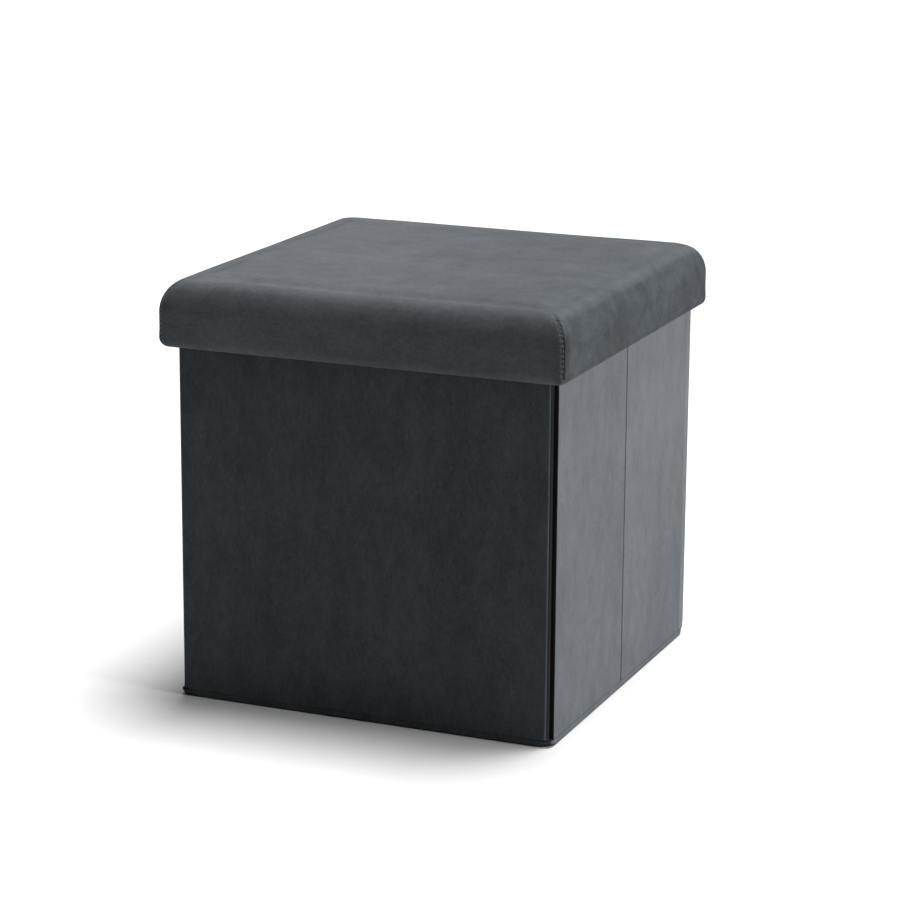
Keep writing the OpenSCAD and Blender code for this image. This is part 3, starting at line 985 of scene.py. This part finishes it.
def make_corner(side, end, sx, sy):
    """The lining gusset inside a corner and, at the back, the velvet channel outside it. The
    linkage is open at the front left corner, so the gusset there is two pieces that meet on
    the fold line."""
    wall_body = "back_panel" if end == "back" else "front_panel"
    half_body = f"{side}_{'rear' if end == 'back' else 'front'}_panel"
    jointed = not (side == "left" and end == "front")
    lining_rows = Z_ROWS[1:-2]
    meet = (FOLD, FOLD)
    near, far = INNER_HALF - 0.35 * MM, INNER_HALF - 14 * MM
    bend_near, bend_far = INNER_HALF - 0.6 * MM, INNER_HALF - 5.4 * MM
    on_wall, on_half = [(far, near), (bend_far, bend_near)], [(bend_near, bend_far), (near, far)]
    inner = on_wall + [meet] + on_half
    if not jointed:
        path = plan_path([meet] + on_half, sx, sy)
        other = strip(f"{end}_{side}_side_gusset", path, lining_rows, LINING)
        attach(other, half_body)
        path_length(path)
        inner = on_wall + [meet]
    gusset = strip(f"{end}_{side}_lining_gusset", plan_path(inner, sx, sy), lining_rows, LINING)
    turn = 1.5 * MM
    cloths = [(gusset, inner, (FOLD - turn, FOLD + turn), (FOLD + turn, FOLD - turn))]
    if end == "back":
        deep = BOX_HALF - 6.4 * MM
        outer = [
            (BOX_HALF - 1.4 * MM, INNER_HALF + 0.5 * MM), (deep + 0.5 * MM, INNER_HALF - 0.2 * MM),
            (deep, INNER_HALF - 2 * MM), (deep, REAR_SIDE_END + 2 * MM),
            (deep + 0.5 * MM, REAR_SIDE_END + 0.2 * MM), (BOX_HALF - 1.6 * MM, REAR_SIDE_END - 0.3 * MM),
        ]
        channel = strip(f"{end}_{side}_channel_velvet", plan_path(outer, sx, sy), Z_ROWS, VELVET_WALL)
        # Painted shade: the velvet inside the channel is painted near black.
        store_nap_and_painted_light(channel, lambda p, normal: CHANNEL_PAINTED_SHADE)
        cloths.append((channel, outer, (deep, INNER_HALF - 0.5 * MM), (deep, REAR_SIDE_END + 0.5 * MM)))
    for piece, path, start, stop in cloths:
        if jointed:
            ends = [(sx * x, sy * y, 0) for x, y in (start, stop)]
            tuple(ends[0])
            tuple(ends[1])
            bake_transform(piece)
        else:
            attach(piece, wall_body)
        path_length(plan_path(path, sx, sy))
    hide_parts(f"{end}_{side}_hinge_cloth")


for side, sx in (("right", 1), ("left", -1)):
    for end, sy in (("back", 1), ("front", -1)):
        make_corner(side, end, sx, sy)


def make_crease(side, sx):
    """The stitched line down a folding side wall: velvet drawn in between its two halves."""
    deep = BOX_HALF - 0.8 * MM
    bottom = INNER_HALF + 0.9 * MM
    gap = SIDE_START - 0.35 * MM
    fold_in = [(bottom, -gap), (deep - 1.5 * MM, -gap), (deep + 0.2 * MM, -gap), (deep + 0.2 * MM, gap),
               (deep - 1.5 * MM, gap), (bottom, gap)]
    path = [(sx * x, y) for x, y in even(smooth_path(fold_in), 0.5 * MM)]
    rows = steps_between(Z_ROWS[0], Z_ROWS[-1], 0.8 * MM)
    fold = strip(f"{side}_crease_velvet", path, rows, VELVET_WALL, 0.3 * MM)
    outer = deep - 0.8 * MM

    def dent(z):
        """1 where a stitch pulls the velvet in, 0 half way to the next one."""
        return 0.5 + 0.5 * math.cos(2 * math.pi * z / STITCH)

    for vertex in fold.data.vertices:
        if abs(vertex.co.x) > outer:
            vertex.co.x += sx * (0.45 * MM - 0.55 * MM * dent(vertex.co.z))
    # Painted shade: darker where each stitch pulls the velvet in, and dark inside the crease.
    store_nap_and_painted_light(fold, lambda p, normal: 0.95 - 0.65 * dent(p.z) if abs(p.x) > outer - 0.4 * MM else 0.3)
    x = sx * (deep + 0.3 * MM)
    line = [(x, 0, z) for z in (Z_ROWS[0] + 3 * MM, Z_ROWS[-1] - 3 * MM)]
    row = stitches(f"{side}_crease_stitches", line, [(sx, 0, 0)] * 2, STITCH, 2.6 * MM, 0.22 * MM, THREAD)
    for piece in (fold, row):
        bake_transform(piece)
    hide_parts(f"{side}_crease_seam")
    path_length(path)


for side, sx in (("right", 1), ("left", -1)):
    make_crease(side, sx)

# ---------------------------------------------------------------- bottom cloth and hem band

FLOOR_CLOTH_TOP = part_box("floor_cloth")[1].z


def ring_points(half, radius, z, per_side=70):
    side = [round_square_side(k, half, lambda inset: radius) for k in range(4)]
    places = np.linspace(0, 1, per_side, endpoint=False)
    return [(*side[k](t, 0), z) for k in range(4) for t in places]


def make_hem_band():
    """The strip of velvet round the foot: it meets the walls above, and turns under below."""
    low = 1.0 * MM
    top = WALL_FOOT - 0.05 * MM
    turned_top, turned_foot = 9 * MM, 8 * MM
    levels = [(top, turned_top), (top, 4 * MM), (top, 0.4 * MM)]
    levels += [(z, 0.0) for z in (top - 0.3 * MM, 4.4 * MM, 3 * MM, 2 * MM)]
    for k in range(5):
        turn = math.pi / 2 * k / 4
        levels.append((low * (1 - math.sin(turn)) + 0.1 * MM, low * (1 - math.cos(turn))))
    levels.append((0.05 * MM, turned_foot))
    points = []
    for z, inset in levels:
        radius = arc_inset(CORNER_R, z) + ROLL_CORNER - inset
        points += ring_points(BOX_HALF - inset, max(radius, 2 * MM), z)
    around = len(points) // len(levels)
    faces = lattice_faces(len(levels), around, closed=True)
    band = mesh_object("hem_band_velvet", points, faces, VELVET_WALL)
    upright = 4 * around + 3
    turn_faces(band, upright, band.data.vertices[upright].co)

    def nap(p, normal):
        """Painted light and shade that carry on from the walls above: the right side's painted light, and
        the front's painted shade, divided by how much the side lamp brightens it, running round its
        corners. Faces turned down or up, at the turned edge below and along the top, are painted near black
        as painted shade."""
        # Painted shade: faces turned down or up are near black.
        if normal.z < -0.3 or normal.z > 0.9:
            return 0.02
        across, along = abs(normal.x), abs(normal.y)
        if across > 0.9 * math.hypot(across, along) or (p.y > 0 and across > along):
            return 0.95 if p.x > 0 else NAP_AND_PAINTED_LIGHT["left_rear"]
        return NAP_AND_PAINTED_LIGHT["front"] * 1.2 / (1 + 3 * max(normal.x, 0)) if p.y < 0 else NAP_AND_PAINTED_LIGHT["back"]

    store_nap_and_painted_light(band, nap)
    thicken(band, 0.5 * MM, -1)
    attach(band, "back_panel")
    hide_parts("hem_band")


def make_bottom_cloth():
    """Non-woven cloth under the box."""
    half = BOX_HALF - 3 * MM
    sides = [round_square_side(k, half, lambda inset: 10 * MM) for k in range(4)]
    places = steps_between(0, 1, 12 * MM / (2 * half))
    thick = FLOOR_CLOTH_TOP - 0.2 * MM
    skin, faces = slab(sides, places, places, thick, 1.5 * MM)
    points = [(a, b, FLOOR_CLOTH_TOP - depth) for a, b, depth in skin]
    cloth = mesh_object("bottom_cloth", points, faces, LINING)
    thicken(cloth, 0.3 * MM, 0)
    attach(cloth, "back_panel")
    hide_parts("floor_cloth")


make_hem_band()
make_bottom_cloth()

# ---------------------------------------------------------------- base flap


def make_base():
    low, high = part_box("base_board")
    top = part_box("base_lining")[1].z
    width, length = high.x - low.x, high.y - low.y
    sides = [rect_side(k, width + 1 * MM, 0, length + 1 * MM) for k in range(4)]
    us = steps_between(0, 1, 8 * MM / width)
    vs = steps_between(0, 1, 8 * MM / length)
    depth = top - low.z + 0.1 * MM
    turned = 30 * MM
    rings = [(0.9 * MM, 0.05 * MM), (0.25 * MM, 0.35 * MM), (0, 1.0 * MM), (0, depth - 0.8 * MM),
             (0.3 * MM, depth - 0.2 * MM), (1 * MM, depth), (16 * MM, depth), (turned, depth)]
    skin, faces = upholstered(sides, us, vs, lambda k, t: 1.5 * MM, lambda radius, k, t: rings)
    points = []
    for a, b, d in skin:
        p = np.array((a + low.x - 0.5 * MM, b + low.y - 0.5 * MM, top - d))
        if d == 0:
            p[2] += 0.1 * MM * wander(p, 0.05, 4.0)
        points.append(p)
    cloth = mesh_object("base_flap_lining", points, faces, LINING)
    thicken(cloth, 0.3 * MM, -1)
    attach(cloth, "base_flap")
    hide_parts("base_lining")

    border = 9 * MM
    cx, cy = (low.x + high.x) / 2, (low.y + high.y) / 2

    def on_border(x, y):
        """Where the stitched border turns, inside a corner of the flap."""
        return x + math.copysign(border, cx - x), y + math.copysign(border, cy - y), top + 0.1 * MM

    for name, x0, y0, x1, y1 in (
        ("front", low.x, low.y, high.x, low.y), ("left", low.x, low.y, low.x, high.y),
        ("right", high.x, low.y, high.x, high.y),
    ):
        line = [on_border(x0, y0), on_border(x1, y1)]
        up = [(0, 0, 1)] * 2
        row = stitches(f"base_stitches_{name}", line, up, 5 * MM, 3.4 * MM, 0.22 * MM, LINING_THREAD)
        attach(row, "base_flap")


def make_base_tape():
    """The tape that hinges the base flap to the foot of the back wall."""
    low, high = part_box("base_hinge_tape")
    rear = INNER_HALF - 0.4 * MM
    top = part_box("base_lining")[1].z + 0.35 * MM
    profile = [(low.y, top), (high.y - 4.5 * MM, top), (high.y - 0.9 * MM, top + 0.1 * MM),
               (rear, top + 0.9 * MM), (rear, top + 4 * MM), (rear, 22 * MM)]
    path = even(smooth_path(profile), 1 * MM)
    across = steps_between(low.x, high.x, 10 * MM)
    points = [(x, y, z) for x in across for y, z in path]
    faces = lattice_faces(len(across), len(path))
    tape = mesh_object("base_hinge_tape_cloth", points, faces, LINING)
    thicken(tape, 0.35 * MM, 0)
    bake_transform(tape)
    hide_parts("base_hinge_tape")
    flat = (high.x - low.x, path_length(path))


def make_pull_tab():
    """A folded ribbon: two layers with a rounded fold at its free end."""
    low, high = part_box("pull_tab")
    mid_x, half = (low.x + high.x) / 2, (high.x - low.x) / 2
    bottom = low.z + 0.05 * MM
    under = bottom + 0.12 * MM
    fold = [(low.y, under), (high.y - 2 * MM, under), (high.y, under),
            (high.y + 0.4 * MM, bottom + 0.45 * MM), (high.y, bottom + 0.75 * MM),
            (high.y - 3 * MM, bottom + 0.7 * MM), (low.y, bottom + 0.5 * MM)]
    path = even(smooth_path(fold), 1 * MM)
    across = steps_between(-half, half, 1.6 * MM)
    points = []
    for x in across:
        rib = 0.04 * MM * math.cos(2 * math.pi * x / (3.2 * MM))
        points += [(mid_x + x, y, z + rib) for y, z in path]
    tab = mesh_object("pull_tab_ribbon", points, lattice_faces(len(across), len(path)), VELVET_WALL)
    store_nap_and_painted_light(tab, lambda p, normal: 1.3)
    thicken(tab, 0.22 * MM, 0)
    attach(tab, "base_flap")
    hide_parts("pull_tab")
    path_length(path)


make_base()
make_base_tape()
make_pull_tab()

# ---------------------------------------------------------------- inside the lid


def make_lid_lining():
    """A shallow tray of lining under the lid board, turned down inside the rails."""
    half = LID_UNDER_HALF - 0.1 * MM
    drop = LID_UNDER_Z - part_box("lid_lining")[0].z
    sides = [round_square_side(k, half, lambda inset: 2.5 * MM) for k in range(4)]
    places = steps_between(0, 1, 7 * MM / (2 * half))
    top = LID_UNDER_Z - 0.1 * MM

    def profile(radius, k, t):
        rings = [(radius * (1 - math.sin(a)), -radius * (1 - math.cos(a))) for a in (0.5, 1.0, math.pi / 2)]
        rings += [(0, -d) for d in steps_between(radius, drop, 4 * MM)[1:]]
        return rings

    skin, faces = upholstered(sides, places, places, lambda k, t: 3 * MM, profile)
    points = []
    for a, b, d in skin:
        p = np.array((a, b, top + d))
        inside = half - max(abs(a), abs(b))
        if inside > 8 * MM:
            p[2] -= 0.25 * MM * (1 + wander(p, 0.06, 9.0))
        else:
            p[:2] *= 1 + 0.0004 * wander(p, 0.04, 5.0)
        points.append(p)
    lining = mesh_object("lid_inner_lining", points, faces, LINING)
    lining.data.flip_normals()
    thicken(lining, 0.4 * MM, 1)
    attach(lining, "lid")
    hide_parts("lid_lining")


def make_foam():
    """The foam block in the seat, rounded where the velvet pulls over it."""
    half = LID_HALF - 4.5 * MM
    thick = SEAT_Z - SEAT_DROP - 3.2 * MM - FOAM_Z
    radius = EDGE_R - 4 * MM
    sides = [round_square_side(k, half, lambda inset: PLAN_R_TOP) for k in range(4)]
    places = steps_between(0, 1, 14 * MM / (2 * half))

    def profile(r, k, t):
        rings = [(r * (1 - math.sin(a)), r * (1 - math.cos(a))) for a in np.linspace(0.2, math.pi / 2, 7)]
        return rings + [(0, thick)]

    skin, faces = upholstered(sides, places, places, lambda k, t: radius, profile)
    dips = [0.2 * MM * (1 + wander(p, 0.02, 2.0)) for p in skin]
    points = [(a, b, FOAM_Z + thick - d - dip) for (a, b, d), dip in zip(skin, dips)]
    rim = 4 * (len(places) - 1)
    faces.append(tuple(range(len(points) - rim, len(points))))
    foam = mesh_object("seat_foam", points, faces, FOAM)
    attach(foam, "lid")
    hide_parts("lid_foam")


make_lid_lining()
make_foam()

# ---------------------------------------------------------------- CAD parts that stay


def paint(node, material):
    cad = frame["nodes"][node]
    cad.data.materials.clear()
    cad.data.materials.append(material)


for node in frame["nodes"]:
    if node.endswith("_board") or node.startswith("lid_rail"):
        paint(node, BOARD)
for node in ("lid_brads", "lid_staples", "pull_tab_staples"):
    paint(node, WIRE)

# ---------------------------------------------------------------- floor and light


def make_floor():
    size = 30
    corners = [(-size, -size), (size, -size), (size, size), (-size, size)]
    points = [(x, y, -0.2 * MM) for x, y in corners]
    material, tree, shader = new_material("pale_floor")
    fill(tree, shader, {"Base Color": (0.6, 0.6, 0.6, 1), "Roughness": 0.9, "Specular IOR Level": 0.1})
    floor = mesh_object("floor", points, [(0, 1, 2, 3)], material)


def sun(name, direction, strength, angle):
    """A soft sun shining from that direction."""
    data = bpy.data.lights.new(name, "SUN")
    data.energy = strength
    data.angle = math.radians(angle)
    lamp = bpy.data.objects.new(name, data)
    lamp.rotation_mode = "QUATERNION"
    lamp.rotation_quaternion = Vector(direction).to_track_quat("Z", "Y")
    bpy.context.collection.objects.link(lamp)


def make_light():
    sun("side_light", (1.0, -0.02, 0.22), 4.3, 20)
    sun("top_light", (0.10, 0.22, 1.0), 5.4, 25)
    world = bpy.data.worlds.new("studio")
    world.use_nodes = True
    background = world.node_tree.nodes["Background"]
    fill(world.node_tree, background, {"Color": (0.95, 0.97, 1, 1), "Strength": 0.12})
    bpy.context.scene.world = world
    bpy.context.scene.view_settings.view_transform = "Standard"


make_floor()
make_light()
